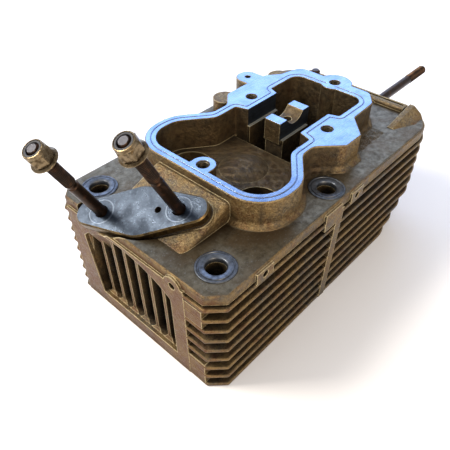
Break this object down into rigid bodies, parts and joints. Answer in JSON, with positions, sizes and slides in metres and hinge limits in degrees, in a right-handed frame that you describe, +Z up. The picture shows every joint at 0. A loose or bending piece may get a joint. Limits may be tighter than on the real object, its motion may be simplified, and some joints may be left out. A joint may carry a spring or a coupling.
{
  "type": "air-cooled diesel cylinder head",
  "caption": "Finned air-cooled diesel cylinder head, bare rocker chamber, tilted two-stud injector flange with cover plate and lock nuts on long studs.",
  "frame": {"origin": "on the cylinder axis, at the mouth of the cylinder recess in the flat gasket face", "axes": "+Z up out of the rocker chamber, +X from the cooling-air window towards the push-rod end, +Y towards the port flanges"},
  "size_m": [0.3753, 0.1787, 0.1694],
  "materials": {
    "cast_aluminium": "rough gravity-cast aluminium, golden brown from heat and oil, machined joint faces",
    "guide_bronze": "machined bronze",
    "spring_steel": "dark spring steel",
    "hard_steel": "ground hardened steel",
    "seat_iron": "sintered iron with a ground 45 degree face",
    "soft_steel": "soft steel sealing ring",
    "copper_washer": "annealed copper",
    "gasket_fibre": "dark pressed fibre",
    "plate_alloy": "milled blue-grey top, brown edge",
    "stud_steel": "blackened steel, oily brown",
    "nut_steel": "zinc-plated steel, tarnished",
    "nylon_ring": "dark nylon",
    "insert_steel": "yellow-passivated steel",
    "seal_rubber": "black oil-proof rubber"
  },
  "bodies": {
    "head": {"head_casting": "cast_aluminium", "intake_valve_guide": "guide_bronze", "exhaust_valve_guide": "guide_bronze", "guide_snap_rings": "spring_steel", "spring_seat_washers": "hard_steel", "intake_valve_seat": "seat_iron", "exhaust_valve_seat": "seat_iron", "cylinder_seal_ring": "soft_steel", "injector_sleeve": "hard_steel", "injector_tip_washer": "copper_washer", "flange_gasket": "gasket_fibre", "injector_studs": "stud_steel", "bolt_seat_rings": "hard_steel", "cover_thread_inserts": "insert_steel", "exhaust_port_studs": "stud_steel", "intake_port_studs": "stud_steel", "cowl_stud": "stud_steel", "deck_stud": "stud_steel", "pushrod_tube_seals": "seal_rubber"},
    "cover_plate": {"cover_plate": "plate_alloy"},
    "left_washer": {"left_nut_washer": "nut_steel"},
    "right_washer": {"right_nut_washer": "nut_steel"},
    "left_nut": {"left_nut": "nut_steel", "left_nut_locking_ring": "nylon_ring"},
    "right_nut": {"right_nut": "nut_steel", "right_nut_locking_ring": "nylon_ring"}
  },
  "joints": [
    {"name": "cover_plate_slide", "type": "slide", "parent": "head", "child": "cover_plate", "axis": [-0.4384, 0, 0.8988], "range_m": [0, 0.03]},
    {"name": "left_nut_turn", "type": "hinge", "parent": "left_washer", "child": "left_nut", "pos_m": [-0.09838, 0.03102, 0.14574], "axis": [-0.4384, 0, 0.8988], "range_deg": [-7200, 0]},
    {"name": "left_nut_travel", "type": "slide", "parent": "head", "child": "left_washer", "axis": [-0.4384, 0, 0.8988], "range_m": [-0.0251, 0]},
    {"name": "right_nut_turn", "type": "hinge", "parent": "right_washer", "child": "right_nut", "pos_m": [-0.07302, -0.01502, 0.15811], "axis": [-0.4384, 0, 0.8988], "range_deg": [-7200, 0]},
    {"name": "right_nut_travel", "type": "slide", "parent": "head", "child": "right_washer", "axis": [-0.4384, 0, 0.8988], "range_m": [-0.0251, 0]}
  ],
  "couplings": [
    {"joint": "left_nut_travel", "follows": "left_nut_turn", "m_per_rad": 0.00019894},
    {"joint": "right_nut_travel", "follows": "right_nut_turn", "m_per_rad": 0.00019894}
  ]
}
